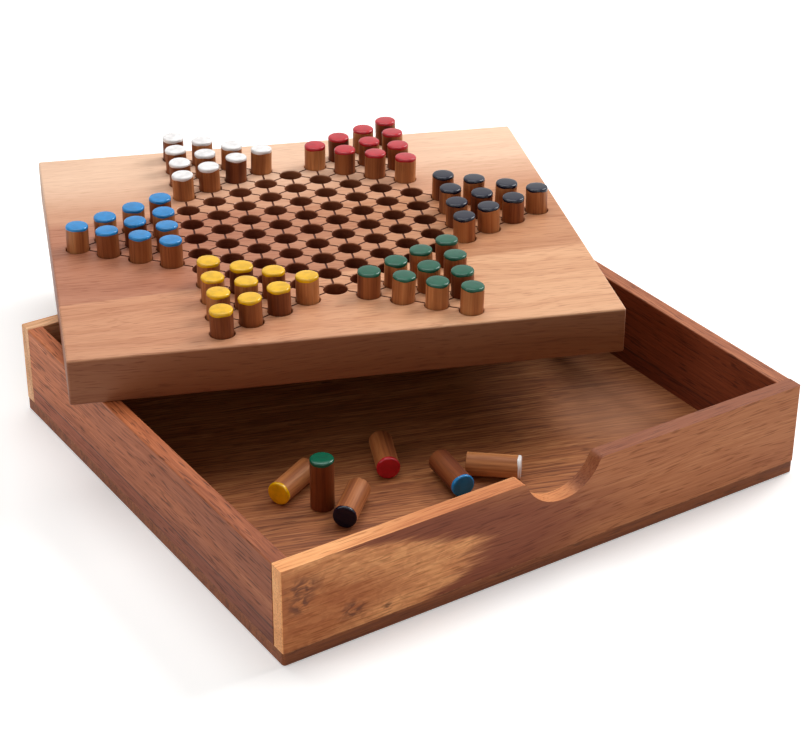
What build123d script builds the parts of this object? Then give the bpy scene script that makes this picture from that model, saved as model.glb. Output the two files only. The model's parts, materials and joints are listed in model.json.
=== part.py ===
from build123d import *
import os
from math import atan, cos, floor, radians, sin, sqrt

os.makedirs("parts", exist_ok=True)

# A wooden chinese checkers set: a shallow storage tray, a thick peg board that serves as
# its lid, and sixty-six painted pegs. The board lies skewed across the back of the open
# tray, ready to play, with sixty pegs in their starting camps and six spare pegs in the
# tray. Millimetres, +Z up. The origin is the centre of the tray's underside.
# X runs along the wall with the finger notch, and that wall faces -Y.

# Tray
tray_length = 248.0
tray_depth = 223.0
tray_height = 42.0
base_thickness = 5.8
wall_thickness = 7.0
base_corner_radius = 1.5
edge_round = 0.7
notch_width = 36.0
notch_drop = 13.2
notch_offset = 2.0
notch_shoulder_radius = 3.0

# Peg board, which drops into the tray as a lid when the game is put away
board_clearance_x = 0.5
board_depth = 201.0
board_thickness = 20.7
board_round = 1.0
board_x = 8.5
board_y = 86.6
board_turn = -21.4

# Star of holes: six camps round a hexagon, tips to the left and to the right
hole_pitch = 15.1
hole_diameter = 10.6
hole_depth = 11.5
star_offset_y = 1.5
hexagon_reach = 4

# Pegs: short dowels with one end dipped in paint
peg_diameter = 10.0
peg_length = 23.0
cap_round = 0.9
foot_round = 0.4
seat_gap = 0.05
lean_margin = 0.06
golden_angle = 137.5
golden_share = 0.618
least_lean = 0.35

# Colour: which of the three lattice coordinates points at the camp, and which way
camps = {
    "blue": (0, -1),
    "white": (1, 1),
    "yellow": (2, 1),
    "red": (2, -1),
    "black": (0, 1),
    "green": (1, -1),
}

# Spare pegs lying on the tray floor: centre of the painted end, and the heading to the foot
lying_pegs = {
    "yellow": (-75.6, -24.4, 27.0),
    "black": (-62.0, -53.6, 43.0),
    "red": (-27.3, -32.4, 66.0),
    "blue": (-8.8, -60.3, 82.0),
    "white": (19.8, -61.0, 140.0),
}
# The green spare peg stands on its foot
standing_peg = (-60.7, -34.8)

# Worked out from the sizes above
wall_height = tray_height - base_thickness
inner_length = tray_length - 2 * wall_thickness
inner_depth = tray_depth - 2 * wall_thickness
board_length = inner_length - 2 * board_clearance_x
column_step = hole_pitch * sqrt(3) / 2
peg_radius = peg_diameter / 2
hole_play = (hole_diameter - peg_diameter) / 2
greatest_lean = atan(2 * max(hole_play - lean_margin, 0) / hole_depth)
board_place = Location((board_x, board_y, tray_height), (0, 0, board_turn))


def rounded_box(length, depth, height, corner_radius, top_round, bottom_round):
    """Block standing on z = 0 with rounded upright corners and softened faces."""
    block = Box(length, depth, height, align=(Align.CENTER, Align.CENTER, Align.MIN))
    block = fillet(block.edges().filter_by(Axis.Z), corner_radius)
    if top_round:
        block = fillet(block.faces().sort_by(Axis.Z)[-1].edges(), top_round)
    if bottom_round:
        block = fillet(block.faces().sort_by(Axis.Z)[0].edges(), bottom_round)
    return block


def tray_base():
    """Bottom panel, as wide as the walls that stand on it."""
    return rounded_box(tray_length, tray_depth, base_thickness, base_corner_radius, 0, edge_round)


def long_wall(side):
    """Front (side -1) or back (side 1) wall, running the tray's whole length."""
    wall = rounded_box(tray_length, wall_thickness, wall_height, edge_round, edge_round, 0)
    centre_y = side * (tray_depth - wall_thickness) / 2
    return Pos(0, centre_y, base_thickness) * wall


def side_wall(side):
    """Left (side -1) or right (side 1) wall, butted between the long walls."""
    wall = Box(wall_thickness, inner_depth, wall_height, align=(Align.CENTER, Align.CENTER, Align.MIN))
    top_edges = wall.faces().sort_by(Axis.Z)[-1].edges().filter_by(Axis.Y)
    wall = fillet(top_edges, edge_round)
    centre_x = side * (tray_length - wall_thickness) / 2
    return Pos(centre_x, 0, base_thickness) * wall


def notched_wall():
    """Front wall with the finger notch cut down from its top edge."""
    wall = Box(tray_length, wall_thickness, wall_height, align=(Align.CENTER, Align.CENTER, Align.MIN))
    notch_radius = (notch_width**2 / 4 + notch_drop**2) / (2 * notch_drop)
    cutter = Cylinder(notch_radius, 2 * wall_thickness, rotation=(90, 0, 0))
    wall -= Pos(notch_offset, 0, wall_height - notch_drop + notch_radius) * cutter
    shoulders = [
        edge
        for edge in wall.edges().filter_by(Axis.Y)
        if abs(edge.center().Z - wall_height) < 0.01 and abs(edge.center().X - notch_offset) < notch_width
    ]
    wall = fillet(shoulders, notch_shoulder_radius)
    wall = fillet(wall.edges().filter_by(Axis.Z), edge_round)
    return Pos(0, (wall_thickness - tray_depth) / 2, base_thickness) * wall


def star_points():
    """Every hole as three lattice coordinates that add up to nought."""
    reach = range(-2 * hexagon_reach, 2 * hexagon_reach + 1)
    points = [(i, j, -i - j) for i in reach for j in reach]
    return [
        point
        for point in points
        if max(point) <= hexagon_reach or min(point) >= -hexagon_reach
    ]


def hole_centre(point):
    """Place of a hole in the board's own plane."""
    return point[0] * column_step, (point[1] - point[2]) * hole_pitch / 2 + star_offset_y


def peg_board():
    """Thick slab with the star of blind holes, in the board's own frame, on z = 0."""
    board = rounded_box(board_length, board_depth, board_thickness, board_round, board_round, board_round)
    spots = [(*hole_centre(point), board_thickness - hole_depth) for point in star_points()]
    # The cutter reaches past the top face
    cutter = Cylinder(
        hole_diameter / 2, hole_depth + board_round, align=(Align.CENTER, Align.CENTER, Align.MIN)
    )
    return board - Locations(*spots) * cutter


def peg():
    """One peg standing on its foot, painted end up."""
    body = Cylinder(peg_radius, peg_length, align=(Align.CENTER, Align.CENTER, Align.MIN))
    body = fillet(body.edges().sort_by(Axis.Z)[-1], cap_round)
    return fillet(body.edges().sort_by(Axis.Z)[0], foot_round)


def peg_lean(number):
    """Direction in which the peg of this number leans in its loose hole."""
    share = least_lean + (1 - least_lean) * (number * golden_share - floor(number * golden_share))
    angle = greatest_lean * share
    heading = radians(number * golden_angle)
    return Vector(sin(angle) * cos(heading), sin(angle) * sin(heading), cos(angle))


def seated_peg(point, number):
    """Peg in its hole, in the board's own frame, leaning about the middle of the hole."""
    x, y = hole_centre(point)
    lean = peg_lean(number)
    lift = peg_radius * sqrt(max(1 - lean.Z**2, 0)) + seat_gap
    middle = Vector(x, y, board_thickness - hole_depth / 2)
    foot = middle - lean * (hole_depth / 2 - lift)
    return Plane(origin=foot, z_dir=lean) * peg()


def camp_points(colour):
    """A camp's ten holes, from the tip inwards."""
    coordinate, sign = camps[colour]
    across = (coordinate + 1) % 3
    camp = [point for point in star_points() if sign * point[coordinate] > hexagon_reach]
    return sorted(camp, key=lambda point: (-sign * point[coordinate], point[across]))


def camp_nodes(colour, first_number):
    """The camp's six outer pegs one by one, and its inner row as two neighbouring pairs."""
    points = camp_points(colour)
    singles = len(points) - hexagon_reach
    groups = [[point] for point in points[:singles]]
    groups += [points[start:start + 2] for start in range(singles, len(points), 2)]
    nodes = {}
    for index, group in enumerate(groups):
        number = first_number + index
        name = f"{colour}_peg_{index + 1}" if len(group) == 1 else f"{colour}_peg_pair_{index + 1 - singles}"
        nodes[name] = ([board_place * seated_peg(point, number) for point in group], peg_lean(number))
    return nodes


def lying_peg(cap_x, cap_y, heading):
    """Spare peg on the tray floor, from its painted end towards its foot."""
    away = Vector(cos(radians(heading)), sin(radians(heading)), 0)
    height = base_thickness + peg_radius + seat_gap
    foot = Vector(cap_x, cap_y, height) + away * peg_length
    return Plane(origin=foot, z_dir=away * -1) * peg()


nodes = {
    "base_panel": [tray_base()],
    "front_wall": [notched_wall()],
    "back_wall": [long_wall(1)],
    "left_wall": [side_wall(-1)],
    "right_wall": [side_wall(1)],
    "peg_board": [board_place * peg_board()],
    "loose_green_peg": [Pos(*standing_peg, base_thickness + seat_gap) * peg()],
}
for colour, place in lying_pegs.items():
    nodes[f"loose_{colour}_peg"] = [lying_peg(*place)]

peg_axes = {}
for camp_number, colour in enumerate(camps):
    for name, (solids, lean) in camp_nodes(colour, camp_number * len(camp_points(colour))).items():
        nodes[name] = solids
        peg_axes[name] = lean.rotate(Axis.Z, board_turn)

for name, solids in nodes.items():
    shape = solids[0] if len(solids) == 1 else Compound(children=solids)
    export_step(shape, f"parts/{name}.step")
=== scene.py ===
import json
from math import cos, radians, sin, sqrt

import bmesh
import bpy
from mathutils import Matrix, Vector

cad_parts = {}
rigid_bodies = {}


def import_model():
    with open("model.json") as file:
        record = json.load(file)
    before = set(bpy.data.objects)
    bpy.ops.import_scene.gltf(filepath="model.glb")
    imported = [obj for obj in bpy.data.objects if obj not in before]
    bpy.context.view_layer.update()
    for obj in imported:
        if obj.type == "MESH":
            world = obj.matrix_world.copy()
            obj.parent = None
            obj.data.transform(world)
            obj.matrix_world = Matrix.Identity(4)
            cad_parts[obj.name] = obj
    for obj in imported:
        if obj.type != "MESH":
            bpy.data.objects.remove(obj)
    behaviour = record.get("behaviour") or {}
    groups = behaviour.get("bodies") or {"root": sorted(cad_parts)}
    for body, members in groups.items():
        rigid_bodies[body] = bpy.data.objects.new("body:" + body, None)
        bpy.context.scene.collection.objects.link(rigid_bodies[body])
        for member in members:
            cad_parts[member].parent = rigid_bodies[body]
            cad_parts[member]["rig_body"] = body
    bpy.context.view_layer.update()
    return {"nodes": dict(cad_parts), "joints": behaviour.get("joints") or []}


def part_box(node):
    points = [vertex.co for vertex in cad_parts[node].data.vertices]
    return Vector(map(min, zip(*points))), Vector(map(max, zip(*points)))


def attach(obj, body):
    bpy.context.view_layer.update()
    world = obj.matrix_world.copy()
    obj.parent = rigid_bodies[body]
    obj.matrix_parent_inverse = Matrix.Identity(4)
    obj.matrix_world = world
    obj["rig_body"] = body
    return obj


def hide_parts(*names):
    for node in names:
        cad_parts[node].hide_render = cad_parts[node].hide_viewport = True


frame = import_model()
scene = bpy.context.scene

# Table, light and camera.
# A white sweep of card under one broad overhead lamp, with a smaller lamp at the right and
# two weak ones at the left and in front. Far from the set the card runs into white air.

CARD_SIZE = 9.0
CARD_COLOUR = "#F4F3F1"
CARD_GLOW = 0.34
CARD_FADE = (0.55, 1.3)
AIR_COLOUR = "#FFFFFF"
AIR_STRENGTH = 0.06
SMOOTH = {"interpolation_type": "SMOOTHSTEP"}
# Place, size and power of each lamp. All of them point at the middle of the tray's underside
LAMPS = {
    "broad_lamp": ((0.10, 0.55, 1.50), 1.2, 15.5),
    "right_lamp": ((1.20, 0.10, 1.05), 0.75, 18.5),
    "left_lamp": ((-1.35, 0.15, 0.80), 0.8, 5.0),
    "front_lamp": ((-0.45, -1.50, 0.70), 0.9, 3.6),
}
EYE_PLACE = (-0.42398, -0.64651, 0.46946)
EYE_AIM = (0.01776, 0.02421, 0.0200)
EYE_ROLL = radians(0.33)
EYE_LENS = 92.9
EYE_FILM = 36.0


def linear(code):
    """Linear colour of an sRGB hex code."""
    channels = [int(code[start:start + 2], 16) / 255 for start in (1, 3, 5)]
    curved = [((c + 0.055) / 1.055) ** 2.4 if c > 0.04045 else c / 12.92 for c in channels]
    return (*curved, 1.0)


def node(tree, kind, inputs=(), stops=(), **settings):
    """Adds a node with its settings. An input takes a value or another node's output."""
    made = tree.nodes.new(kind)
    for name, value in settings.items():
        setattr(made, name, value)
    for key, value in dict(inputs).items():
        if isinstance(value, bpy.types.NodeSocket):
            tree.links.new(value, made.inputs[key])
        else:
            made.inputs[key].default_value = value
    for number, (place, code) in enumerate(stops):
        ramp = made.color_ramp.elements
        stop = ramp[number] if number < 2 else ramp.new(place)
        stop.position = place
        stop.color = linear(code)
    return made


def seen_directly(tree):
    """One for the rays that show the background: to the camera, off gloss and through glass."""
    path = node(tree, "ShaderNodeLightPath")
    either = node(
        tree,
        "ShaderNodeMath",
        {0: path.outputs["Is Camera Ray"], 1: path.outputs["Is Glossy Ray"]},
        operation="MAXIMUM",
    )
    return node(
        tree,
        "ShaderNodeMath",
        {0: either.outputs[0], 1: path.outputs["Is Transmission Ray"]},
        operation="MAXIMUM",
    ).outputs[0]


# White where it is seen, and only a faint fill where it lights the set
air = bpy.data.worlds.new("studio_air")
air.use_nodes = True
air.node_tree.nodes.clear()
dim = node(air.node_tree, "ShaderNodeBackground", {"Color": linear(AIR_COLOUR), "Strength": AIR_STRENGTH})
white = node(air.node_tree, "ShaderNodeBackground", {"Color": linear(AIR_COLOUR), "Strength": 1.0})
both = node(
    air.node_tree,
    "ShaderNodeMixShader",
    {0: seen_directly(air.node_tree), 1: dim.outputs[0], 2: white.outputs[0]},
)
node(air.node_tree, "ShaderNodeOutputWorld", {"Surface": both.outputs[0]})
scene.world = air

card_mesh = bpy.data.meshes.new("table_card")
half = CARD_SIZE / 2
corners = [(-half, -half, 0), (half, -half, 0), (half, half, 0), (-half, half, 0)]
card_mesh.from_pydata(corners, [], [(0, 1, 2, 3)])
card = bpy.data.objects.new("table_card", card_mesh)
scene.collection.objects.link(card)
# Matt white card: even and without shine, it keeps the set's shadow
matt_card = bpy.data.materials.new("matt_white_card")
matt_card.use_nodes = True
tree = matt_card.node_tree
tree.nodes.clear()
paper = node(tree, "ShaderNodeBsdfDiffuse", {"Color": linear(CARD_COLOUR)})
glow = node(tree, "ShaderNodeEmission", {"Color": linear(AIR_COLOUR), "Strength": CARD_GLOW})
lit = node(tree, "ShaderNodeAddShader", {0: paper.outputs[0], 1: glow.outputs[0]})
where = node(tree, "ShaderNodeTexCoord")
away = node(tree, "ShaderNodeVectorMath", {0: where.outputs["Object"]}, operation="LENGTH")
far = node(
    tree,
    "ShaderNodeMapRange",
    {"Value": away.outputs["Value"], "From Min": CARD_FADE[0], "From Max": CARD_FADE[1]},
    **SMOOTH,
)
open_air = node(tree, "ShaderNodeEmission", {"Color": linear(AIR_COLOUR), "Strength": 1.0})
sweep = node(tree, "ShaderNodeMixShader", {0: far.outputs[0], 1: lit.outputs[0], 2: open_air.outputs[0]})
shown = node(tree, "ShaderNodeMixShader", {0: seen_directly(tree), 1: paper.outputs[0], 2: sweep.outputs[0]})
node(tree, "ShaderNodeOutputMaterial", {"Surface": shown.outputs[0]})
card_mesh.materials.append(matt_card)

for title, (place, size, power) in LAMPS.items():
    lamp = bpy.data.lights.new(title, "AREA")
    lamp.shape = "SQUARE"
    lamp.size = size
    lamp.energy = power
    lamp_stand = bpy.data.objects.new(title, lamp)
    lamp_stand.location = place
    lamp_stand.rotation_euler = (-Vector(place)).to_track_quat("-Z", "Y").to_euler()
    scene.collection.objects.link(lamp_stand)

eye = bpy.data.cameras.new("eye")
eye.lens = EYE_LENS
eye.sensor_width = EYE_FILM
eye_stand = bpy.data.objects.new("eye", eye)
look = (Vector(EYE_AIM) - Vector(EYE_PLACE)).to_track_quat("-Z", "Y").to_matrix().to_4x4()
eye_stand.matrix_world = Matrix.Translation(EYE_PLACE) @ look @ Matrix.Rotation(EYE_ROLL, 4, "Z")
scene.collection.objects.link(eye_stand)
scene.camera = eye_stand
scene.view_settings.view_transform = "Standard"

# Base panel.
# A thin panel of plain hardwood, sawn and sanded, with its grain nearly along the tray. The
# walls stand on it. Its lit floor is warm brown, and its sawn edge is darker.

MM = 0.001
# Lengths and widths of the wood's patterns, in millimetres
DRIFT_MM = (111, 29.4, 29.4)
RING_LENGTH_MM = 333
FIBRE_LENGTH_MM = 38.5
PORE_MM = (8.33, 0.588, 0.588)
PORE_RANGE = {"From Min": 0.6, "From Max": 0.75}
# The hollows between the fibres stay dull, and the oil shines on the ridges
FIBRE_RANGE = {"From Min": 0.2, "From Max": 0.8}
HOLLOW_DULLER = 0.1
RIDGE_SHINIER = 0.06
GRAIN_RELIEF = 0.5
OIL_SHINE = 0.3
FLOOR_TONES = ((0.36, "#6C3B1F"), (0.46, "#8C502C"), (0.55, "#A16337"), (0.66, "#B6794B"))
FLOOR_PORES = "#582A12"
FLOOR_CENTRE = (0.013, 0.041, 0.002)
FLOOR_TURN = radians(-18)
# A pool of light painted on the floor near the right wall, where light passes the board's corner
FLOOR_LIGHT_POOL = "#E3A077"
FLOOR_LIGHT_POOL_CENTRE = (0.085, -0.038, 0.0058)
FLOOR_LIGHT_POOL_RANGE = {"From Min": 0.036, "From Max": 0.010, "To Max": 0.42}
EDGE_TONES = ((0.34, "#6B361B"), (0.46, "#854825"), (0.56, "#97562F"), (0.68, "#A76438"))
EDGE_PORES = "#4B220C"
EDGE_CENTRE = (0.02, 0.03, 0.001)
EDGE_TOP = {"From Min": 0.0054, "From Max": 0.0057}


def waves(*sizes):
    """Scale of a pattern whose features have these sizes, in millimetres."""
    return tuple(1 / (size * MM) for size in sizes)


def timber(tree, place, tones, pores, ring_mm=6.0, wander_mm=3.0, fibre_mm=0.8, pore_share=0.5, bands=0.6):
    """Sawn wood with its grain along X of the place given: its colour and its height."""
    # Slow drift of the grain across a board, a few millimetres in every ten centimetres
    drift_place = node(tree, "ShaderNodeMapping", {"Vector": place, "Scale": waves(*DRIFT_MM)})
    drift = node(tree, "ShaderNodeTexNoise", {"Vector": drift_place.outputs[0], "Scale": 1.0, "Detail": 2.0})
    centred = node(
        tree, "ShaderNodeVectorMath", {0: drift.outputs["Color"], 1: (0.5, 0.5, 0.5)}, operation="SUBTRACT"
    )
    swing = 2 * wander_mm * MM
    scaled = node(
        tree, "ShaderNodeVectorMath", {0: centred.outputs[0], 1: (0, swing, swing)}, operation="MULTIPLY"
    )
    bent = node(tree, "ShaderNodeVectorMath", {0: place, 1: scaled.outputs[0]}, operation="ADD").outputs[0]
    # Growth rings cut lengthwise: bands many times longer than wide
    ring_place = node(
        tree, "ShaderNodeMapping", {"Vector": bent, "Scale": waves(RING_LENGTH_MM, ring_mm, 2 * ring_mm)}
    )
    rings = node(
        tree,
        "ShaderNodeTexNoise",
        {"Vector": ring_place.outputs[0], "Scale": 1.0, "Detail": 3.0, "Roughness": 0.62},
    )
    # Single fibres are far finer than a picture point, so they are drawn in bundles
    fibre_place = node(
        tree, "ShaderNodeMapping", {"Vector": bent, "Scale": waves(FIBRE_LENGTH_MM, fibre_mm, fibre_mm)}
    )
    fibres = node(
        tree,
        "ShaderNodeTexNoise",
        {"Vector": fibre_place.outputs[0], "Scale": 1.0, "Detail": 2.0, "Roughness": 0.6},
    )
    # Open pores: dark dashes of about half a millimetre by eight
    pore_place = node(tree, "ShaderNodeMapping", {"Vector": bent, "Scale": waves(*PORE_MM)})
    pore_noise = node(
        tree, "ShaderNodeTexNoise", {"Vector": pore_place.outputs[0], "Scale": 1.0, "Detail": 0.0}
    )
    pore = node(
        tree, "ShaderNodeMapRange", {"Value": pore_noise.outputs["Fac"], **PORE_RANGE, "To Max": pore_share}
    ).outputs[0]
    blend = node(
        tree,
        "ShaderNodeMix",
        {0: bands, 2: fibres.outputs["Fac"], 3: rings.outputs["Fac"]},
        data_type="FLOAT",
    )
    tone = node(tree, "ShaderNodeValToRGB", {"Fac": blend.outputs[0]}, stops=tones)
    colour = node(
        tree,
        "ShaderNodeMix",
        {0: pore, 6: tone.outputs["Color"], 7: linear(pores)},
        data_type="RGBA",
    )
    height = node(
        tree, "ShaderNodeMath", {0: fibres.outputs["Fac"], 1: pore}, operation="SUBTRACT"
    )
    return colour.outputs[2], height.outputs[0]


def object_place(tree, centre=(0, 0, 0), turn=(0, 0, 0)):
    """Object coordinates measured from a centre, with a turn taken out."""
    where = node(tree, "ShaderNodeTexCoord")
    return node(
        tree,
        "ShaderNodeMapping",
        {"Vector": where.outputs["Object"], "Location": centre, "Rotation": turn},
        vector_type="TEXTURE",
    ).outputs[0]


def wooden_finish(name, roughness, grain_mm, paint):
    """Material whose colour and height come from paint(tree), under a thin oiled surface."""
    material = bpy.data.materials.new(name)
    material.use_nodes = True
    tree = material.node_tree
    tree.nodes.clear()
    colour, height = paint(tree)
    dull = node(
        tree,
        "ShaderNodeMapRange",
        {
            "Value": height,
            **FIBRE_RANGE,
            "To Min": roughness + HOLLOW_DULLER,
            "To Max": roughness - RIDGE_SHINIER,
        },
    )
    relief = node(
        tree, "ShaderNodeBump", {"Height": height, "Strength": GRAIN_RELIEF, "Distance": grain_mm * MM}
    )
    skin = node(
        tree,
        "ShaderNodeBsdfPrincipled",
        {
            "Base Color": colour,
            "Roughness": dull.outputs[0],
            "Normal": relief.outputs[0],
            "Specular IOR Level": OIL_SHINE,
        },
    )
    node(tree, "ShaderNodeOutputMaterial", {"Surface": skin.outputs[0]})
    return material


def dress(name, material):
    """Gives a CAD node its finish."""
    mesh = frame["nodes"][name].data
    mesh.materials.clear()
    mesh.materials.append(material)


def floor_paint(tree):
    """Warm floor with a painted pool of light near the right wall, and the panel's darker sawn edge."""
    face, height = timber(
        tree,
        object_place(tree, centre=FLOOR_CENTRE, turn=(0, 0, FLOOR_TURN)),
        FLOOR_TONES,
        FLOOR_PORES,
        ring_mm=4.0,
        wander_mm=5.0,
        fibre_mm=0.9,
        pore_share=0.7,
        bands=0.35,
    )
    edge, _ = timber(
        tree, object_place(tree, centre=EDGE_CENTRE), EDGE_TONES, EDGE_PORES, ring_mm=3.0, wander_mm=0.8
    )
    place = object_place(tree)
    # The painted pool of light, palest at its centre
    from_pale = node(tree, "ShaderNodeVectorMath", {0: place, 1: FLOOR_LIGHT_POOL_CENTRE}, operation="DISTANCE")
    paler = node(
        tree, "ShaderNodeMapRange", {"Value": from_pale.outputs["Value"], **FLOOR_LIGHT_POOL_RANGE}, **SMOOTH
    )
    face = node(
        tree, "ShaderNodeMix", {0: paler.outputs[0], 6: face, 7: linear(FLOOR_LIGHT_POOL)}, data_type="RGBA"
    ).outputs[2]
    parts = node(tree, "ShaderNodeSeparateXYZ", {0: place})
    up = node(tree, "ShaderNodeMapRange", {"Value": parts.outputs["Z"], **EDGE_TOP}, **SMOOTH).outputs[0]
    return node(tree, "ShaderNodeMix", {0: up, 6: edge, 7: face}, data_type="RGBA").outputs[2], height


# Sanded hardwood, barely oiled: matt, with short dark pores all over the warm brown
floor_wood = wooden_finish("sanded_hardwood_panel", roughness=0.55, grain_mm=0.12, paint=floor_paint)
dress("base_panel", floor_wood)

# Front wall.
# One hardwood strip with a shallow finger notch, glued over the ends of the side walls.
# Its left third is honey sapwood with small knots, and the rest is redder heartwood.

SAP_TONES = ((0.32, "#DE8E55"), (0.45, "#F2A669"), (0.57, "#FFB979"), (0.7, "#FFCB8C"))
SAP_PORES = "#B76C37"
HEART_TONES = ((0.32, "#A55F37"), (0.45, "#B86E41"), (0.57, "#C37A4A"), (0.7, "#D08A57"))
HEART_PORES = "#834321"
# Where the heartwood starts along the tray, and the fades beside it, measured from there
HEART_EDGE = -0.020
HEART_FADE = {"From Min": HEART_EDGE - 0.004, "From Max": HEART_EDGE + 0.012}
CORNER_FADE = {"From Min": HEART_EDGE - 0.012, "From Max": HEART_EDGE - 0.055}
DARK_START = {"From Min": HEART_EDGE - 0.002, "From Max": HEART_EDGE + 0.014}
DARK_END = {"From Min": 0.075, "From Max": 0.010}
LICK_MM = (33.3, 16.7, 3.03)
LICK_TURN = radians(-32)
LICK_LENGTH = 0.045
BULGE_HEIGHT = 0.020
BULGE_BEND = 120.0
CURL_MM = (5.88, 5.88, 3.33)
CURL_RANGE = {"From Min": 0.36, "From Max": 0.62}
CURL_SHARE = 0.35
# Along and up the wall, and radius in millimetres
KNOTS = ((-0.1150, 0.0315, 7.5), (-0.1165, 0.0245, 5.5), (-0.0935, 0.0140, 6.5), (-0.0790, 0.0098, 2.4))
KNOT_OVAL = (0.7, 0.3, 1.0)
KNOT_CORE = 0.1
KNOT_BROWN = "#6A3820"
FRONT_FACE_Y = -0.1115
# Shades that the wood's own colour is multiplied by
SHADING = {"data_type": "RGBA", "blend_type": "MULTIPLY"}
CURL_SHADE = "#C9A58C"
CORNER_SHADE = "#CDB39C"
DARK_SHADE = "#BC9E95"
TOP_SHADE = "#D2BDB0"
UPWARD_RIGHT_SHADE = "#B4A39E"
# Faces that look up or to the left are painted lighter, as lit
FACING_UP = {"From Min": 0.2, "From Max": 0.4}
FACING_LEFT = {"From Min": -0.5, "From Max": -0.8}
NOTCH_RIGHT_START = {"From Min": 0.006, "From Max": 0.014}
TOP_FADE = {"From Min": -0.115, "From Max": -0.050}


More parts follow.
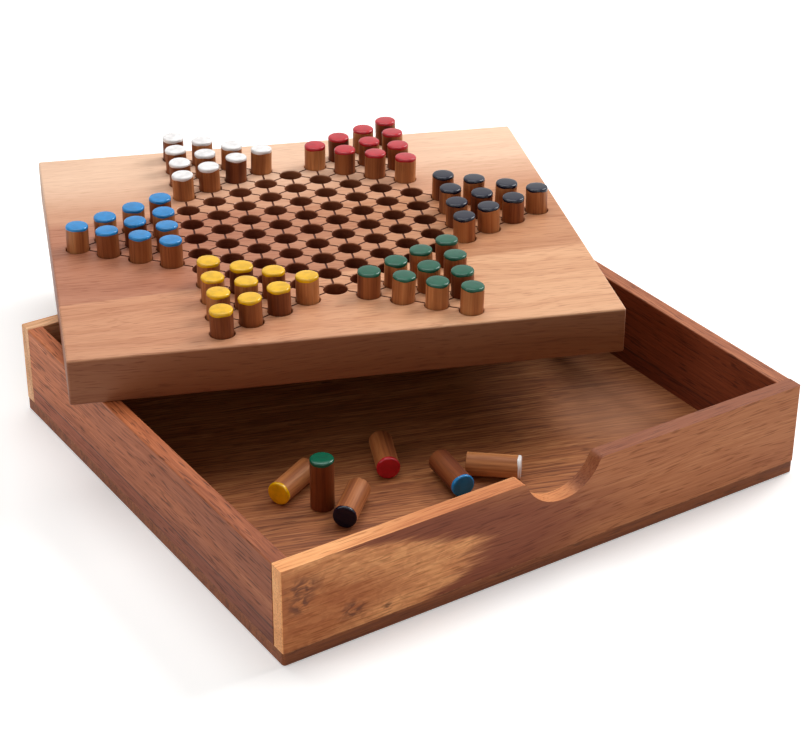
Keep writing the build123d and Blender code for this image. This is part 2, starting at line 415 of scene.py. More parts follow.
def front_wall_paint(tree):
    """Sapwood and heartwood that meet in a feathered edge, with knots, and painted light on the faces that
    look up or left.
    """
    place = object_place(tree)
    sap, sap_height = timber(
        tree, place, SAP_TONES, SAP_PORES, ring_mm=9.0, wander_mm=6.0, pore_share=0.6, bands=0.5
    )
    heart, heart_height = timber(
        tree, place, HEART_TONES, HEART_PORES, ring_mm=8.0, wander_mm=5.0, pore_share=0.6, bands=0.45
    )
    parts = node(tree, "ShaderNodeSeparateXYZ", {0: place})
    # The heartwood starts in a feathered edge, a few millimetres of long licks
    lick_place = node(
        tree, "ShaderNodeMapping", {"Vector": place, "Scale": waves(*LICK_MM), "Rotation": (0, LICK_TURN, 0)}
    )
    licks = node(
        tree,
        "ShaderNodeTexNoise",
        {"Vector": lick_place.outputs[0], "Scale": 1.0, "Detail": 3.0, "Roughness": 0.7},
    )
    # The licks bulge to the right at half height and fall back at the top edge
    rise = node(tree, "ShaderNodeMath", {0: parts.outputs["Z"], 1: BULGE_HEIGHT}, operation="SUBTRACT")
    bulge = node(tree, "ShaderNodeMath", {0: rise.outputs[0], 1: rise.outputs[0]}, operation="MULTIPLY")
    inset = node(
        tree,
        "ShaderNodeMath",
        {0: bulge.outputs[0], 1: BULGE_BEND, 2: parts.outputs["X"]},
        operation="MULTIPLY_ADD",
    )
    push = node(
        tree,
        "ShaderNodeMath",
        {0: licks.outputs["Fac"], 1: LICK_LENGTH, 2: inset.outputs[0]},
        operation="MULTIPLY_ADD",
    ).outputs[0]
    share = node(tree, "ShaderNodeMapRange", {"Value": push, **HEART_FADE}, **SMOOTH).outputs[0]
    # Brown curls in the sapwood, which gather round the knots
    curl_place = node(tree, "ShaderNodeMapping", {"Vector": place, "Scale": waves(*CURL_MM)})
    curls = node(
        tree,
        "ShaderNodeTexNoise",
        {"Vector": curl_place.outputs[0], "Scale": 1.0, "Detail": 3.0, "Distortion": 1.2},
    )
    curl = node(
        tree, "ShaderNodeMapRange", {"Value": curls.outputs["Fac"], **CURL_RANGE}, **SMOOTH
    ).outputs[0]
    mottle = node(tree, "ShaderNodeMath", {0: curl, 1: CURL_SHARE}, operation="MULTIPLY")
    curled = node(tree, "ShaderNodeMix", {0: mottle.outputs[0], 6: sap, 7: linear(CURL_SHADE)}, **SHADING)
    # The sapwood is palest beside the licks and browner towards the corner
    corner = node(tree, "ShaderNodeMapRange", {"Value": push, **CORNER_FADE}, **SMOOTH)
    browner = node(
        tree,
        "ShaderNodeMix",
        {0: corner.outputs[0], 6: curled.outputs[2], 7: linear(CORNER_SHADE)},
        **SHADING,
    )
    colour = node(
        tree, "ShaderNodeMix", {0: share, 6: browner.outputs[2], 7: heart}, data_type="RGBA"
    ).outputs[2]
    for x, z, radius in KNOTS:
        away = node(tree, "ShaderNodeVectorMath", {0: place, 1: (x, FRONT_FACE_Y, z)}, operation="SUBTRACT")
        oval = node(tree, "ShaderNodeVectorMath", {0: away.outputs[0], 1: KNOT_OVAL}, operation="MULTIPLY")
        reach = node(tree, "ShaderNodeVectorMath", {0: oval.outputs[0]}, operation="LENGTH")
        knot = node(
            tree,
            "ShaderNodeMapRange",
            {"Value": reach.outputs["Value"], "From Min": radius * MM, "From Max": KNOT_CORE * radius * MM},
            **SMOOTH,
        ).outputs[0]
        smudge = node(tree, "ShaderNodeMath", {0: knot, 1: curl}, operation="MULTIPLY")
        colour = node(
            tree, "ShaderNodeMix", {0: smudge.outputs[0], 6: colour, 7: linear(KNOT_BROWN)}, data_type="RGBA"
        ).outputs[2]
    # The heartwood is darkest from the licks to the notch
    begun = node(tree, "ShaderNodeMapRange", {"Value": push, **DARK_START}, **SMOOTH)
    lasting = node(tree, "ShaderNodeMapRange", {"Value": push, **DARK_END}, **SMOOTH)
    darkest = node(tree, "ShaderNodeMath", {0: begun.outputs[0], 1: lasting.outputs[0]}, operation="MULTIPLY")
    colour = node(
        tree, "ShaderNodeMix", {0: darkest.outputs[0], 6: colour, 7: linear(DARK_SHADE)}, **SHADING
    ).outputs[2]
    # The top edge, notch floor and left end get painted light: pale sapwood, a little browner near the notch
    facing = node(tree, "ShaderNodeNewGeometry")
    way = node(tree, "ShaderNodeSeparateXYZ", {0: facing.outputs["True Normal"]})
    top = node(tree, "ShaderNodeMapRange", {"Value": way.outputs["Z"], **FACING_UP}).outputs[0]
    left_end = node(tree, "ShaderNodeMapRange", {"Value": way.outputs["X"], **FACING_LEFT})
    right = node(tree, "ShaderNodeMapRange", {"Value": parts.outputs["X"], **NOTCH_RIGHT_START}, **SMOOTH)
    left = node(tree, "ShaderNodeMath", {0: 1.0, 1: right.outputs[0]}, operation="SUBTRACT")
    pale_top = node(tree, "ShaderNodeMath", {0: top, 1: left.outputs[0]}, operation="MULTIPLY")
    pale = node(tree, "ShaderNodeMath", {0: pale_top.outputs[0], 1: left_end.outputs[0]}, operation="MAXIMUM")
    inward = node(tree, "ShaderNodeMapRange", {"Value": parts.outputs["X"], **TOP_FADE}, **SMOOTH)
    painted_lit_sap = node(tree, "ShaderNodeMix", {0: inward.outputs[0], 6: sap, 7: linear(TOP_SHADE)}, **SHADING)
    colour = node(
        tree, "ShaderNodeMix", {0: pale.outputs[0], 6: colour, 7: painted_lit_sap.outputs[2]}, data_type="RGBA"
    ).outputs[2]
    # Right of the notch what faces up is darker
    upward_right = node(tree, "ShaderNodeMath", {0: top, 1: right.outputs[0]}, operation="MULTIPLY")
    colour = node(
        tree, "ShaderNodeMix", {0: upward_right.outputs[0], 6: colour, 7: linear(UPWARD_RIGHT_SHADE)}, **SHADING
    ).outputs[2]
    height = node(tree, "ShaderNodeMix", {0: share, 2: sap_height, 3: heart_height}, data_type="FLOAT")
    return colour, height.outputs[0]


# Oiled sapwood and heartwood: a soft sheen over honey and red-brown with streaky grain
front_wood = wooden_finish(
    "oiled_sapwood_and_heartwood", roughness=0.5, grain_mm=0.12, paint=front_wall_paint
)
dress("front_wall", front_wood)

# Back wall.
# The same kind of strip without a notch, glued over the other ends of the side walls. It is
# paler all over, and in the photograph's view only its left end and top edge show.

BACK_TONES = ((0.34, "#D09364"), (0.46, "#EFB17F"), (0.56, "#FFCA99"), (0.68, "#FFDEB0"))
BACK_PORES = "#A06843"
BACK_CENTRE = (0.07, 0.02, 0.011)


def back_wall_paint(tree):
    return timber(tree, object_place(tree, centre=BACK_CENTRE), BACK_TONES, BACK_PORES)


# Pale oiled hardwood: light, with a soft sheen and a faint grain
dress("back_wall", wooden_finish("pale_oiled_hardwood", roughness=0.5, grain_mm=0.12, paint=back_wall_paint))

# Side walls.
# Two reddish hardwood strips glued between the long walls, each of two pieces joined
# edge to edge: a thin glue line runs about a third of the way up.

LEFT_TONES = ((0.32, "#9B4F29"), (0.45, "#B66438"), (0.57, "#CC7444"), (0.7, "#E18952"))
RIGHT_TONES = ((0.32, "#804426"), (0.45, "#985634"), (0.57, "#AA653F"), (0.7, "#BC774C"))
SIDE_PORES = "#562712"
GLUE_LINE_HEIGHT = 0.0133
GLUE_LINE_BROWN = "#5A3122"
GLUE_LINE_RANGE = {"From Min": 0.0005, "From Max": 0.0001}
LOWER_STRIP = {"From Min": GLUE_LINE_HEIGHT + 0.0004, "From Max": GLUE_LINE_HEIGHT - 0.0004}
LOWER_SHADE = "#D9C8C4"
# Painted shade along the left wall, deepest at its front end
FORWARD_SHADE_RANGE = {"From Min": 0.090, "From Max": -0.100}
FORWARD_PAINTED_SHADE = "#C9C4C4"
# Painted shade on the right wall's face that looks into the tray
INNER_FACE = {"From Min": 0.1176, "From Max": 0.1168}
INNER_PAINTED_SHADE = "#C29A8C"


def side_wall_paint(tree, tones):
    """Two strips of one wood with the glue line between them, the lower one a shade darker."""
    place = object_place(tree, turn=(0, 0, radians(90)))
    colour, height = timber(
        tree,
        place,
        tones,
        SIDE_PORES,
        ring_mm=5.0,
        wander_mm=3.5,
        fibre_mm=0.9,
        pore_share=0.75,
        bands=0.45,
    )
    parts = node(tree, "ShaderNodeSeparateXYZ", {0: place})
    below = node(
        tree, "ShaderNodeMapRange", {"Value": parts.outputs["Z"], **LOWER_STRIP}, **SMOOTH
    ).outputs[0]
    colour = node(tree, "ShaderNodeMix", {0: below, 6: colour, 7: linear(LOWER_SHADE)}, **SHADING).outputs[2]
    above = node(tree, "ShaderNodeMath", {0: parts.outputs["Z"], 1: GLUE_LINE_HEIGHT}, operation="SUBTRACT")
    gap = node(tree, "ShaderNodeMath", {0: above.outputs[0]}, operation="ABSOLUTE")
    line = node(tree, "ShaderNodeMapRange", {"Value": gap.outputs[0], **GLUE_LINE_RANGE}, **SMOOTH).outputs[0]
    return node(
        tree, "ShaderNodeMix", {0: line, 6: colour, 7: linear(GLUE_LINE_BROWN)}, data_type="RGBA"
    ).outputs[2], height


def left_wall_paint(tree):
    """Tan at the back, with painted shade that deepens the red-brown towards the front."""
    colour, height = side_wall_paint(tree, LEFT_TONES)
    parts = node(tree, "ShaderNodeSeparateXYZ", {0: object_place(tree)})
    forward_shade = node(tree, "ShaderNodeMapRange", {"Value": parts.outputs["Y"], **FORWARD_SHADE_RANGE})
    return node(
        tree, "ShaderNodeMix", {0: forward_shade.outputs[0], 6: colour, 7: linear(FORWARD_PAINTED_SHADE)}, **SHADING
    ).outputs[2], height


def right_wall_paint(tree):
    """Painted shade on the face that looks into the tray, over the same wood."""
    colour, height = side_wall_paint(tree, RIGHT_TONES)
    parts = node(tree, "ShaderNodeSeparateXYZ", {0: object_place(tree)})
    inside = node(
        tree, "ShaderNodeMapRange", {"Value": parts.outputs["X"], **INNER_FACE}, **SMOOTH
    ).outputs[0]
    return node(
        tree, "ShaderNodeMix", {0: inside, 6: colour, 7: linear(INNER_PAINTED_SHADE)}, **SHADING
    ).outputs[2], height


# Open-pored reddish hardwood: long dark pores streak the face, under a soft sheen
left_wood = wooden_finish("porous_reddish_hardwood", roughness=0.5, grain_mm=0.15, paint=left_wall_paint)
dress("left_wall", left_wood)
# The same wood, with painted shade on the face that looks into the tray
right_wood = wooden_finish("deep_reddish_hardwood", roughness=0.5, grain_mm=0.15, paint=right_wall_paint)
dress("right_wall", right_wood)

# Peg board.
# A thick slab of three planks glued edge to edge, sanded and oiled, with 121 blind holes
# drilled in a star and thin lines scored from hole to hole. It lies skewed on the tray.

BOARD_SIZE = (0.2330, 0.2010, 0.0207)
BOARD_ROUND = 0.0010
BOARD_PLACE = (0.0085, 0.0866, 0.0420)
BOARD_TURN = radians(-21.4)
HOLE_PITCH = 0.0151
HOLE_DIAMETER = 0.0106
HOLE_DEPTH = 0.0115
RIM_BREAK = 0.0003
HOLE_SIDES = 40
STAR_REACH = 4
STAR_OFFSET_Y = 0.0015
SCORE_RADIUS = 0.0005
SCORE_RISE = 0.0001
SCORE_SIDES = 12
BEVEL_STEPS = 4
BOARD_CREASE = radians(32)
BOARD_TONES = ((0.3, "#D9C7BD"), (0.43, "#EEE3DC"), (0.56, "#FBF7F4"), (0.72, "#FFFFFF"))
BOARD_PORES = "#B58E78"
# Each plank's colour at its two ends or edges; the paler end is partly a painted sheen
FRONT_PLANK = ("#CE946F", "#DDAA82")
MIDDLE_PLANK = ("#B5795B", "#C48D66")
BACK_PLANK = ("#CC9776", "#ECC6A8")
BACK_CALM = 0.55
RIGHTWARD = {"From Min": -0.03, "From Max": 0.11}
BACKWARD = {"From Min": 0.030, "From Max": 0.078}
# Where each joint meets the board's left and right edge, and how soft it looks
FRONT_JOINT = (-0.052, -0.036, 0.0010)
BACK_JOINT = (0.026, 0.030, 0.005)
WAVE_MM = (71.4, 25, 25)
WAVE_REACH = 0.05
SOAKED_AND_SHADED_EDGE = ("#B9A18C", "#A28972")
SOAK_AND_SHADE_RANGE = {"From Min": BOARD_SIZE[2] - 0.0003, "From Max": BOARD_SIZE[2] - 0.0012}
BORED_SHADE = "#E6C6B2"
SCORED_SHADE = "#6E4C3E"
# Faces nearer than this to the slab's sides, underside or top are its outside
SIDE_MARGIN = 0.002
UNDERSIDE_MARGIN = 0.001
TOP_MARGIN = 0.00004
board_matrix = Matrix.Translation(BOARD_PLACE) @ Matrix.Rotation(BOARD_TURN, 4, "Z")


def new_piece(name, mesh):
    """Adds an object of this mesh at the origin."""
    piece = bpy.data.objects.new(name, mesh)
    scene.collection.objects.link(piece)
    return piece


def run_tree(piece, tree, **values):
    """Runs a geometry tree on a piece and keeps its result as a plain mesh."""
    modifier = piece.modifiers.new(tree.name, "NODES")
    modifier.node_group = tree
    for item in tree.interface.items_tree:
        if item.item_type == "SOCKET" and item.in_out == "INPUT" and item.name in values:
            modifier[item.identifier] = values[item.name]
    bpy.context.view_layer.update()
    made = bpy.data.meshes.new_from_object(piece.evaluated_get(bpy.context.evaluated_depsgraph_get()))
    piece.modifiers.clear()
    made.name = piece.name
    piece.data = made
    return piece


def tree_with(name, **sockets):
    """Geometry tree with named inputs. Gives the tree and its input node."""
    tree = bpy.data.node_groups.new(name, "GeometryNodeTree")
    tree.interface.new_socket("Geometry", in_out="INPUT", socket_type="NodeSocketGeometry")
    for title, (kind, value) in sockets.items():
        socket = tree.interface.new_socket(title, in_out="INPUT", socket_type=kind)
        if value is not None:
            socket.default_value = value
    tree.interface.new_socket("Geometry", in_out="OUTPUT", socket_type="NodeSocketGeometry")
    return tree, node(tree, "NodeGroupInput").outputs


def star_points():
    """Every hole as three lattice coordinates that add up to nought."""
    reach = range(-2 * STAR_REACH, 2 * STAR_REACH + 1)
    points = [(i, j, -i - j) for i in reach for j in reach]
    return [point for point in points if max(point) <= STAR_REACH or min(point) >= -STAR_REACH]


def hole_centre(point):
    """Place of a hole in the board's own plane."""
    across = (point[1] - point[2]) * HOLE_PITCH / 2
    return Vector((point[0] * HOLE_PITCH * sqrt(3) / 2, across + STAR_OFFSET_Y, 0))


def score_lines(coordinate):
    """Ends of the scored lines on which one lattice coordinate stays the same."""
    lines = []
    for value in range(-2 * STAR_REACH, 2 * STAR_REACH + 1):
        row = [hole_centre(point) for point in star_points() if point[coordinate] == value]
        if len(row) > 1:
            row.sort(key=lambda spot: (round(spot.x, 6), spot.y))
            lines.append((row[0], row[-1]))
    return lines


# Tree that scores lines along the edges of one mesh into another
scoring, given = tree_with(
    "scored_lines",
    Lines=("NodeSocketObject", None),
    Radius=("NodeSocketFloat", SCORE_RADIUS),
    Finish=("NodeSocketMaterial", None),
)
lines_in = node(scoring, "GeometryNodeObjectInfo", {"Object": given["Lines"]})
threads = node(scoring, "GeometryNodeMeshToCurve", {0: lines_in.outputs["Geometry"]})
ring = node(
    scoring, "GeometryNodeCurvePrimitiveCircle", {"Resolution": SCORE_SIDES, "Radius": given["Radius"]}
)
tubes = node(
    scoring,
    "GeometryNodeCurveToMesh",
    {"Curve": threads.outputs[0], "Profile Curve": ring.outputs[0], "Fill Caps": True},
)
scored = node(
    scoring,
    "GeometryNodeMeshBoolean",
    {"Mesh 1": given["Geometry"], "Mesh 2": tubes.outputs[0]},
    operation="DIFFERENCE",
    solver="MANIFOLD",
)
whole = node(scoring, "GeometryNodeRealizeInstances", {0: scored.outputs[0]})
coated = node(scoring, "GeometryNodeSetMaterial", {"Geometry": whole.outputs[0], "Material": given["Finish"]})
node(scoring, "NodeGroupOutput", {0: coated.outputs[0]})

# Tree that drills a hole at every point of one mesh into another
drilling, given = tree_with(
    "drilled_holes",
    Spots=("NodeSocketObject", None),
    Diameter=("NodeSocketFloat", HOLE_DIAMETER),
    Depth=("NodeSocketFloat", HOLE_DEPTH),
    Rim=("NodeSocketFloat", RIM_BREAK),
    Finish=("NodeSocketMaterial", None),
)
spots_in = node(drilling, "GeometryNodeObjectInfo", {"Object": given["Spots"]})
radius = node(drilling, "ShaderNodeMath", {0: given["Diameter"], 1: 0.5}, operation="MULTIPLY")
drill = node(
    drilling,
    "GeometryNodeMeshCylinder",
    {"Vertices": HOLE_SIDES, "Radius": radius.outputs[0], "Depth": given["Depth"]},
)
sunk = node(drilling, "ShaderNodeMath", {0: given["Depth"], 1: -0.5, 2: 0.0}, operation="MULTIPLY_ADD")
sunk_place = node(drilling, "ShaderNodeCombineXYZ", {"Z": sunk.outputs[0]})
drill_low = node(
    drilling,
    "GeometryNodeTransform",
    {"Geometry": drill.outputs["Mesh"], "Translation": sunk_place.outputs[0]},
)
# A short cone on top, three rims deep and sunk by two, takes the sharp rim off the hole
wide = node(drilling, "ShaderNodeMath", {0: radius.outputs[0], 1: given["Rim"]}, operation="ADD")
wider = node(drilling, "ShaderNodeMath", {0: wide.outputs[0], 1: given["Rim"]}, operation="ADD")
cone_depth = node(drilling, "ShaderNodeMath", {0: given["Rim"], 1: 3.0}, operation="MULTIPLY")
cone_low = node(drilling, "ShaderNodeMath", {0: radius.outputs[0], 1: given["Rim"]}, operation="SUBTRACT")
cone_place = node(
    drilling,
    "ShaderNodeCombineXYZ",
    {"Z": node(drilling, "ShaderNodeMath", {0: given["Rim"], 1: -2.0}, operation="MULTIPLY").outputs[0]},
)
cone = node(
    drilling,
    "GeometryNodeMeshCone",
    {
        "Vertices": HOLE_SIDES,
        "Radius Top": wider.outputs[0],
        "Radius Bottom": cone_low.outputs[0],
        "Depth": cone_depth.outputs[0],
    },
)
cone_up = node(
    drilling,
    "GeometryNodeTransform",
    {"Geometry": cone.outputs["Mesh"], "Translation": cone_place.outputs[0]},
)
holes_only = node(
    drilling,
    "GeometryNodeInstanceOnPoints",
    {"Points": spots_in.outputs["Geometry"], "Instance": drill_low.outputs[0]},
)
rims_only = node(
    drilling,
    "GeometryNodeInstanceOnPoints",
    {"Points": spots_in.outputs["Geometry"], "Instance": cone_up.outputs[0]},
)
holes_real = node(drilling, "GeometryNodeRealizeInstances", {0: holes_only.outputs[0]})
rims_real = node(drilling, "GeometryNodeRealizeInstances", {0: rims_only.outputs[0]})
drilled = node(
    drilling,
    "GeometryNodeMeshBoolean",
    {"Mesh 1": given["Geometry"], "Mesh 2": holes_real.outputs[0]},
    operation="DIFFERENCE",
    solver="MANIFOLD",
)
rimmed = node(
    drilling,
    "GeometryNodeMeshBoolean",
    {"Mesh 1": drilled.outputs[0], "Mesh 2": rims_real.outputs[0]},
    operation="DIFFERENCE",
    solver="MANIFOLD",
)
whole = node(drilling, "GeometryNodeRealizeInstances", {0: rimmed.outputs[0]})
coated = node(
    drilling, "GeometryNodeSetMaterial", {"Geometry": whole.outputs[0], "Material": given["Finish"]}
)
node(drilling, "NodeGroupOutput", {0: coated.outputs[0]})


def board_place(tree):
    """Object coordinates in the board's own frame."""
    return object_place(tree, centre=BOARD_PLACE, turn=(0, 0, BOARD_TURN))


def plank_share(tree, parts, wave, left_y, right_y, soft):
    """One behind a joint that runs from left_y to right_y across the board, nought before it."""
    slope = (right_y - left_y) / BOARD_SIZE[0]
    line = node(
        tree,
        "ShaderNodeMath",
        {0: parts.outputs["X"], 1: -slope, 2: parts.outputs["Y"]},
        operation="MULTIPLY_ADD",
    )
    waved = node(tree, "ShaderNodeMath", {0: wave, 1: 4 * soft, 2: line.outputs[0]}, operation="MULTIPLY_ADD")
    middle = (left_y + right_y) / 2 + 2 * soft
    return node(
        tree,
        "ShaderNodeMapRange",
        {"Value": waved.outputs[0], "From Min": middle - soft, "From Max": middle + soft},
        **SMOOTH,
    ).outputs[0]


def board_paint(tree):
    """Three planks side by side that fade along or across, with darker sawn edges."""
    place = board_place(tree)
    parts = node(tree, "ShaderNodeSeparateXYZ", {0: place})
    wave_place = node(tree, "ShaderNodeMapping", {"Vector": place, "Scale": waves(*WAVE_MM)})
    wave = node(
        tree, "ShaderNodeTexNoise", {"Vector": wave_place.outputs[0], "Scale": 1.0, "Detail": 3.0}
    ).outputs["Fac"]
    # The planks fade, front and middle ones left to right, the back one front to back: partly painted sheen
    along = node(
        tree, "ShaderNodeMath", {0: wave, 1: WAVE_REACH, 2: parts.outputs["X"]}, operation="MULTIPLY_ADD"
    )
    rightward = node(
        tree, "ShaderNodeMapRange", {"Value": along.outputs[0], **RIGHTWARD}, **SMOOTH
    ).outputs[0]
    backward = node(
        tree, "ShaderNodeMapRange", {"Value": parts.outputs["Y"], **BACKWARD}, **SMOOTH
    ).outputs[0]
    fades = ((rightward, FRONT_PLANK), (rightward, MIDDLE_PLANK), (backward, BACK_PLANK))
    front, middle, back = (
        node(tree, "ShaderNodeMix", {0: fade, 6: linear(start), 7: linear(end)}, data_type="RGBA").outputs[2]
        for fade, (start, end) in fades
    )
    behind_front = plank_share(tree, parts, wave, *FRONT_JOINT)
    behind_middle = plank_share(tree, parts, wave, *BACK_JOINT)
    ground = node(tree, "ShaderNodeMix", {0: behind_front, 6: front, 7: middle}, data_type="RGBA").outputs[2]
    ground = node(tree, "ShaderNodeMix", {0: behind_middle, 6: ground, 7: back}, data_type="RGBA").outputs[2]
    grain, height = timber(
        tree,
        place,
        BOARD_TONES,
        BOARD_PORES,
        ring_mm=7.0,
        wander_mm=7.0,
        fibre_mm=1.1,
        pore_share=0.45,
        bands=0.55,
    )
    # The heartwood plank in the middle shows its grain more than the pale one behind it
    calm = node(tree, "ShaderNodeMapRange", {"Value": behind_middle, "To Min": 1.0, "To Max": BACK_CALM})
    colour = node(tree, "ShaderNodeMix", {0: calm.outputs[0], 6: ground, 7: grain}, **SHADING).outputs[2]
    # Below its top the slab is darker: oil soaked into sawn edges, and painted shade on sides and in holes
    soak_and_shade = node(
        tree,
        "ShaderNodeMix",
        {0: rightward, 6: linear(SOAKED_AND_SHADED_EDGE[0]), 7: linear(SOAKED_AND_SHADED_EDGE[1])},
        data_type="RGBA",
    ).outputs[2]
    edge = node(tree, "ShaderNodeMapRange", {"Value": parts.outputs["Z"], **SOAK_AND_SHADE_RANGE}, **SMOOTH).outputs[0]
    return node(tree, "ShaderNodeMix", {0: edge, 6: colour, 7: soak_and_shade}, **SHADING).outputs[2], height


def shaded_board_paint(shade):
    """The board's paint with one shade over all of it."""
    def paint(tree):
        colour, height = board_paint(tree)
        darker = node(tree, "ShaderNodeMix", {0: 1.0, 6: colour, 7: linear(shade)}, **SHADING)
        return darker.outputs[2], height

    return paint


# Oiled planks: a soft sheen over three tones of fine grain
board_wood = wooden_finish("oiled_plank_board", roughness=0.45, grain_mm=0.1, paint=board_paint)
# Drilled end grain: matt, and darker from the oil it drank and from painted shade in the holes
bored_wood = wooden_finish(
    "drilled_end_grain", roughness=0.75, grain_mm=0.1, paint=shaded_board_paint(BORED_SHADE)
)
# Scored wood: thin dull lines, dark with oil and dust and with painted shade in the grooves
scored_wood = wooden_finish(
    "scored_and_darkened_line", roughness=0.7, grain_mm=0.1, paint=shaded_board_paint(SCORED_SHADE)
)

slab = bmesh.new()
bmesh.ops.create_cube(slab, size=1.0)
bmesh.ops.scale(slab, vec=BOARD_SIZE, verts=slab.verts)
bmesh.ops.translate(slab, vec=(0, 0, BOARD_SIZE[2] / 2), verts=slab.verts)
bmesh.ops.bevel(slab, geom=slab.edges, offset=BOARD_ROUND, segments=BEVEL_STEPS, profile=0.5, affect="EDGES")
slab_mesh = bpy.data.meshes.new("oiled_peg_board")
slab.to_mesh(slab_mesh)
slab.free()
board = new_piece("oiled_peg_board", slab_mesh)
# Three sets of parallel lines, one for each of the star's directions
for coordinate in range(3):
    ends = [end for line in score_lines(coordinate) for end in line]
    lift = Vector((0, 0, BOARD_SIZE[2] + SCORE_RISE))
    guide_mesh = bpy.data.meshes.new("score_guide")
    guide_mesh.from_pydata([end + lift for end in ends], [(i, i + 1) for i in range(0, len(ends), 2)], [])
    guide = new_piece("score_guide", guide_mesh)
    run_tree(board, scoring, Lines=guide, Finish=board_wood)
    bpy.data.objects.remove(guide)
guide_mesh = bpy.data.meshes.new("hole_guide")
centres = [hole_centre(point) for point in star_points()]
guide_mesh.from_pydata([centre + Vector((0, 0, BOARD_SIZE[2])) for centre in centres], [], [])
guide = new_piece("hole_guide", guide_mesh)
run_tree(board, drilling, Spots=guide, Finish=board_wood)
bpy.data.objects.remove(guide)
board_mesh = board.data
board_mesh.materials.clear()
for material in (board_wood, bored_wood, scored_wood):
    board_mesh.materials.append(material)
# Hole walls and scored lines take the darker finishes, which carry painted shade
for face in board_mesh.polygons:
    middle = face.center
    side_gap = min(BOARD_SIZE[0] / 2 - abs(middle.x), BOARD_SIZE[1] / 2 - abs(middle.y))
    if side_gap > SIDE_MARGIN and UNDERSIDE_MARGIN < middle.z < BOARD_SIZE[2] - TOP_MARGIN:
        near = min((middle.xy - centre.xy).length for centre in centres)
        face.material_index = 1 if near < HOLE_DIAMETER / 2 + RIM_BREAK / 4 else 2
        if near < HOLE_DIAMETER / 2 + RIM_BREAK and middle.z > BOARD_SIZE[2] - RIM_BREAK:
            face.material_index = 0
board_mesh.shade_smooth()
board_mesh.set_sharp_from_angle(angle=BOARD_CREASE)
board_mesh.transform(board_matrix)
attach(board, "board")
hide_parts("peg_board")

# Pegs.
# Short dowels cut from a long rod, with one end dipped in gloss paint that ends in a
# slightly uneven line. Sixty stand loosely in the board and six lie or stand in the tray.

PEG_DIAMETER = 0.0100
PEG_LENGTH = 0.0230
CAP_ROUND = 0.0008
CAP_DOME = 0.0001
FOOT_ROUND = 0.0004
PAINT_DEPTH = 0.0014
PAINT_WAVER = 0.00035
PAINT_FILM = 0.00005
# The paint's lower edge swings round the peg: each swing's share, number and start
PAINT_SWINGS = ((0.6, 1, 0.7), (0.4, 3, 0.0), (0.3, 5, 1.9))
# A ring on the cap: its share of the cap's reach and of the dome's drop
CAP_RING = (0.6, 0.36)
PEG_SIDES = 32
ROUND_STEPS = 4
PEG_CREASE = radians(50)
FULL_TURN = 6.283
PEG_TONES = ((0.36, "#7A4426"), (0.46, "#AA6E42"), (0.55, "#C98C5A"), (0.68, "#DDAA78"))
PEG_PORES = "#6A3F22"
PEG_SHADES = ((0.0, "#94694E"), (0.3, "#CCAD92"), (1.0, "#FFF6E8"))
# Steps of tone from one node to the next, and between the two pegs of a pair
TONE_STEP = 0.618
TWIN_STEP = 0.377
# Heading of each lying peg from its painted end to its foot, in degrees
LYING_HEADINGS = {"yellow": 27.0, "black": 43.0, "red": 66.0, "blue": 82.0, "white": 140.0}
# The standing spare peg is a dark one, and the tones of the rest run through the range
DARK_PEG = {"loose_green_peg": 0.02}
# Which of the star's three coordinates points at each camp
CAMPS = {"blue": 0, "white": 1, "yellow": 2, "red": 2, "black": 0, "green": 1}
# Colour and roughness of each paint
ENAMELS = {
    "blue": ("#1585C8", 0.11),
    "white": ("#F4F0EE", 0.14),
    "yellow": ("#F3BA00", 0.13),
    "red": ("#BF1A28", 0.12),
    # The black paint's blue tint is partly a painted reflection
    "black": ("#0B0F28", 0.1),
    "green": ("#065A42", 0.12),
}
POOL_MM = 3.57
POOL_RANGE = {"From Min": 0.35, "From Max": 0.7}
POOL_SHADE = 0.8
SHEEN_RANGE = {"From Min": 0.3, "From Max": 0.7}
SHEEN_SPREAD = (-0.04, 0.08)
POOL_RELIEF = {"Strength": 0.1, "Distance": 0.0002}
PAINT_SHINE = 0.33


def peg_wood_paint(tree):
    """The grain follows each rod, and every peg is cut from another stretch of it."""
    own = node(tree, "ShaderNodeAttribute", attribute_name="peg_place")
    tone = node(tree, "ShaderNodeAttribute", attribute_name="peg_tone")
    apart = node(tree, "ShaderNodeCombineXYZ", {"X": tone.outputs["Fac"], "Y": tone.outputs["Fac"]})
    moved = node(
        tree, "ShaderNodeVectorMath", {0: apart.outputs[0], 1: own.outputs["Vector"]}, operation="ADD"
    )
    place = node(
        tree,
        "ShaderNodeMapping",
        {"Vector": moved.outputs[0], "Rotation": (0, radians(90), 0)},
        vector_type="TEXTURE",
    ).outputs[0]
    colour, height = timber(
        tree,
        place,
        PEG_TONES,
        PEG_PORES,
        ring_mm=6.5,
        wander_mm=0.8,
        fibre_mm=1.0,
        pore_share=0.25,
        bands=0.8,
    )
    shade = node(tree, "ShaderNodeValToRGB", {"Fac": tone.outputs["Fac"]}, stops=PEG_SHADES)
    mixed = node(tree, "ShaderNodeMix", {0: 1.0, 6: colour, 7: shade.outputs["Color"]}, **SHADING)
    return mixed.outputs[2], height


# Turned dowel: smooth, with long fine grain, and from pale tan to deep brown
peg_wood = wooden_finish("turned_dowel_wood", roughness=0.5, grain_mm=0.1, paint=peg_wood_paint)


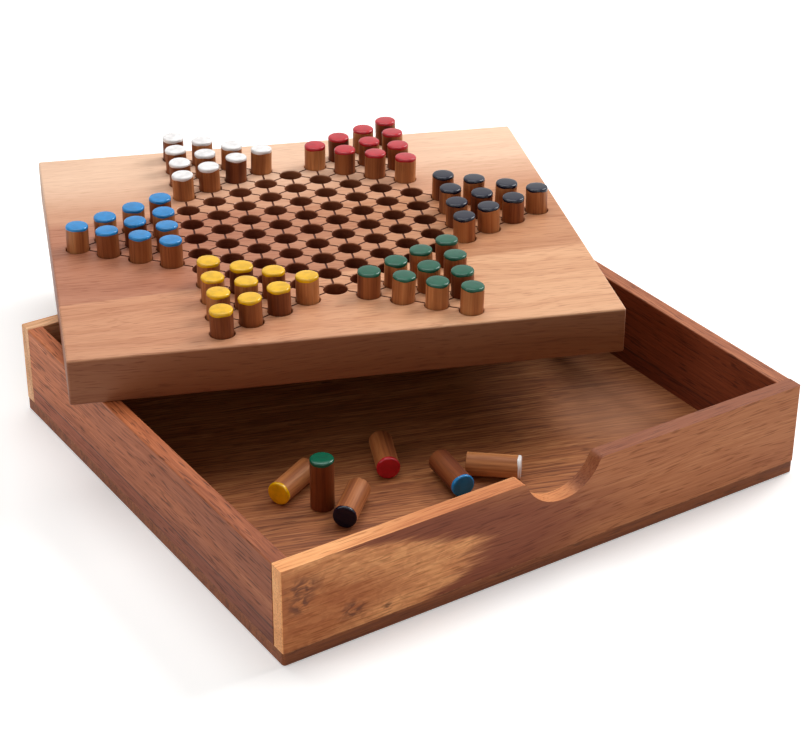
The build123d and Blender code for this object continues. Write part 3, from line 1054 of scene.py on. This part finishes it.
def gloss_enamel(colour):
    """Oil-based gloss paint, dipped: a smooth skin with a clear shine that pools a little."""
    code, roughness = ENAMELS[colour]
    material = bpy.data.materials.new(f"{colour}_gloss_enamel")
    material.use_nodes = True
    tree = material.node_tree
    tree.nodes.clear()
    # Pooling and dust show as faint changes of tone over three or four millimetres
    place = node(tree, "ShaderNodeMapping", {"Vector": object_place(tree), "Scale": waves(*[POOL_MM] * 3)})
    cloud = node(tree, "ShaderNodeTexNoise", {"Vector": place.outputs[0], "Scale": 1.0, "Detail": 3.0})
    share = node(
        tree, "ShaderNodeMapRange", {"Value": cloud.outputs["Fac"], **POOL_RANGE}, **SMOOTH
    ).outputs[0]
    hue = linear(code)
    deep = (*[channel * POOL_SHADE for channel in hue[:3]], 1.0)
    tone = node(tree, "ShaderNodeMix", {0: share, 6: hue, 7: deep}, data_type="RGBA").outputs[2]
    sheen = node(
        tree,
        "ShaderNodeMapRange",
        {
            "Value": cloud.outputs["Fac"],
            **SHEEN_RANGE,
            "To Min": roughness + SHEEN_SPREAD[0],
            "To Max": roughness + SHEEN_SPREAD[1],
        },
    )
    relief = node(tree, "ShaderNodeBump", {"Height": cloud.outputs["Fac"], **POOL_RELIEF})
    skin = node(
        tree,
        "ShaderNodeBsdfPrincipled",
        {
            "Base Color": tone,
            "Roughness": sheen.outputs[0],
            "Normal": relief.outputs[0],
            "Specular IOR Level": PAINT_SHINE,
        },
    )
    node(tree, "ShaderNodeOutputMaterial", {"Surface": skin.outputs[0]})
    return material


enamels = {colour: gloss_enamel(colour) for colour in ENAMELS}


def pattern_peg():
    """One peg about the origin, painted end up, as rings from the foot to the cap."""
    radius = PEG_DIAMETER / 2
    low, high = -PEG_LENGTH / 2, PEG_LENGTH / 2
    turns = [radians(90 * step / ROUND_STEPS) for step in range(ROUND_STEPS + 1)]
    foot = low + FOOT_ROUND
    rings = [(radius - FOOT_ROUND * (1 - sin(t)), foot - FOOT_ROUND * cos(t), 0, False) for t in turns]
    line = high - PAINT_DEPTH
    rings.append((radius - PAINT_FILM, line - 3 * PAINT_FILM, 1, False))
    rings.append((radius, line, 1, True))
    cap = high - CAP_DOME - CAP_ROUND
    rings += [(radius - CAP_ROUND * (1 - cos(t)), cap + CAP_ROUND * sin(t), 0, True) for t in turns]
    rings.insert(ROUND_STEPS + 1, (radius - PAINT_FILM, foot + PEG_LENGTH / 3, 0, False))
    mesh = bmesh.new()
    painted = mesh.faces.layers.bool.new("painted")
    loops = []
    for size, height, wavers, _ in rings:
        loop = []
        for side in range(PEG_SIDES):
            angle = radians(360 * side / PEG_SIDES)
            swing = sum(share * sin(number * angle + start) for share, number, start in PAINT_SWINGS)
            waver = wavers * PAINT_WAVER * swing
            loop.append(mesh.verts.new((size * cos(angle), size * sin(angle), height + waver)))
        loops.append(loop)
    for number in range(len(loops) - 1):
        for side in range(PEG_SIDES):
            after = (side + 1) % PEG_SIDES
            face = mesh.faces.new(
                (loops[number][side], loops[number][after], loops[number + 1][after], loops[number + 1][side])
            )
            face[painted] = rings[number + 1][3] and rings[number][2] + rings[number][3] > 0
            face.smooth = True
    mesh.faces.new(list(reversed(loops[0])))[painted] = False
    # The dipped end domes by the thickness of a drop
    crown = mesh.verts.new((0, 0, high))
    inner = []
    for side in range(PEG_SIDES):
        angle = radians(360 * side / PEG_SIDES)
        reach = (radius - CAP_ROUND) * CAP_RING[0]
        inner.append(mesh.verts.new((reach * cos(angle), reach * sin(angle), high - CAP_DOME * CAP_RING[1])))
    for side in range(PEG_SIDES):
        after = (side + 1) % PEG_SIDES
        for face in (
            mesh.faces.new((loops[-1][side], loops[-1][after], inner[after], inner[side])),
            mesh.faces.new((inner[side], inner[after], crown)),
        ):
            face[painted] = True
            face.smooth = True
    made = bpy.data.meshes.new("pattern_peg")
    mesh.to_mesh(made)
    mesh.free()
    own = made.attributes.new("peg_place", "FLOAT_VECTOR", "POINT")
    for vertex in made.vertices:
        own.data[vertex.index].vector = vertex.co
    made.set_sharp_from_angle(angle=PEG_CREASE)
    return new_piece("pattern_peg", made)


# Tree that stands a peg at every point, along the point's own axis, spun to show another side
standing, given = tree_with(
    "dipped_pegs",
    Peg=("NodeSocketObject", None),
    Wood=("NodeSocketMaterial", None),
    Paint=("NodeSocketMaterial", None),
    Seed=("NodeSocketInt", 0),
)
peg_in = node(standing, "GeometryNodeObjectInfo", {"Object": given["Peg"]})
axis_in = node(standing, "GeometryNodeInputNamedAttribute", {"Name": "peg_axis"}, data_type="FLOAT_VECTOR")
along = node(standing, "FunctionNodeAlignRotationToVector", {"Vector": axis_in.outputs[0]}, axis="Z")
spin = node(
    standing,
    "FunctionNodeRandomValue",
    {"Min": 0.0, "Max": FULL_TURN, "Seed": given["Seed"]},
    data_type="FLOAT",
)
spun = node(standing, "FunctionNodeAxisAngleToRotation", {"Axis": (0, 0, 1), "Angle": spin.outputs[1]})
turned = node(
    standing,
    "FunctionNodeRotateRotation",
    {"Rotation": along.outputs[0], "Rotate By": spun.outputs[0]},
    rotation_space="LOCAL",
)
copies = node(
    standing,
    "GeometryNodeInstanceOnPoints",
    {"Points": given["Geometry"], "Instance": peg_in.outputs["Geometry"], "Rotation": turned.outputs[0]},
)
whole = node(standing, "GeometryNodeRealizeInstances", {0: copies.outputs[0]})
plain = node(standing, "GeometryNodeSetMaterial", {"Geometry": whole.outputs[0], "Material": given["Wood"]})
painted_in = node(standing, "GeometryNodeInputNamedAttribute", {"Name": "painted"}, data_type="BOOLEAN")
dipped = node(
    standing,
    "GeometryNodeSetMaterial",
    {"Geometry": plain.outputs[0], "Selection": painted_in.outputs[0], "Material": given["Paint"]},
)
node(standing, "NodeGroupOutput", {0: dipped.outputs[0]})


def stand_pegs(name, body, colour, seed, centres, axis):
    """Pegs of one body: finer pieces in place of the CAD node of that name."""
    mesh = bpy.data.meshes.new(f"dipped_{name}")
    mesh.from_pydata(centres, [], [])
    mesh.attributes.new("peg_axis", "FLOAT_VECTOR", "POINT")
    mesh.attributes.new("peg_tone", "FLOAT", "POINT")
    for number in range(len(centres)):
        mesh.attributes["peg_axis"].data[number].vector = axis
        tone = (seed * TONE_STEP + number * TWIN_STEP) % 1.0
        mesh.attributes["peg_tone"].data[number].value = DARK_PEG.get(name, tone)
    piece = new_piece(f"dipped_{name}", mesh)
    run_tree(piece, standing, Peg=pattern, Wood=peg_wood, Paint=enamels[colour], Seed=seed)
    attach(piece, body)
    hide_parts(name)


pattern = pattern_peg()
body_of = {name: piece["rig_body"] for name, piece in frame["nodes"].items()}
lift_axes = {joint["child"]: Vector(joint["axis"]).normalized() for joint in frame["joints"]}
# The pegs go by name, and each node's number sets its tone and how its pegs are turned
seed = 0
for name in sorted(frame["nodes"]):
    colour = next((colour for colour in ENAMELS if f"{colour}_peg" in name), None)
    if colour is None:
        continue
    seed += 1
    low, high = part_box(name)
    centre = (low + high) / 2
    centres = [centre]
    axis = lift_axes[body_of[name]]
    if name.startswith("loose"):
        heading = radians(LYING_HEADINGS.get(colour, 0))
        axis = Vector((-cos(heading), -sin(heading), 0)) if colour in LYING_HEADINGS else Vector((0, 0, 1))
    elif "pair" in name:
        # The two neighbours differ by one step in the lattice's other two coordinates
        step = [0, 0, 0]
        step[(CAMPS[colour] + 1) % 3] = 1
        step[(CAMPS[colour] + 2) % 3] = -1
        offset = hole_centre(step) - hole_centre((0, 0, 0))
        offset = board_matrix.to_3x3() @ offset / 2
        centres = [centre - offset, centre + offset]
    stand_pegs(name, body_of[name], colour, seed, centres, axis)
bpy.data.objects.remove(pattern)
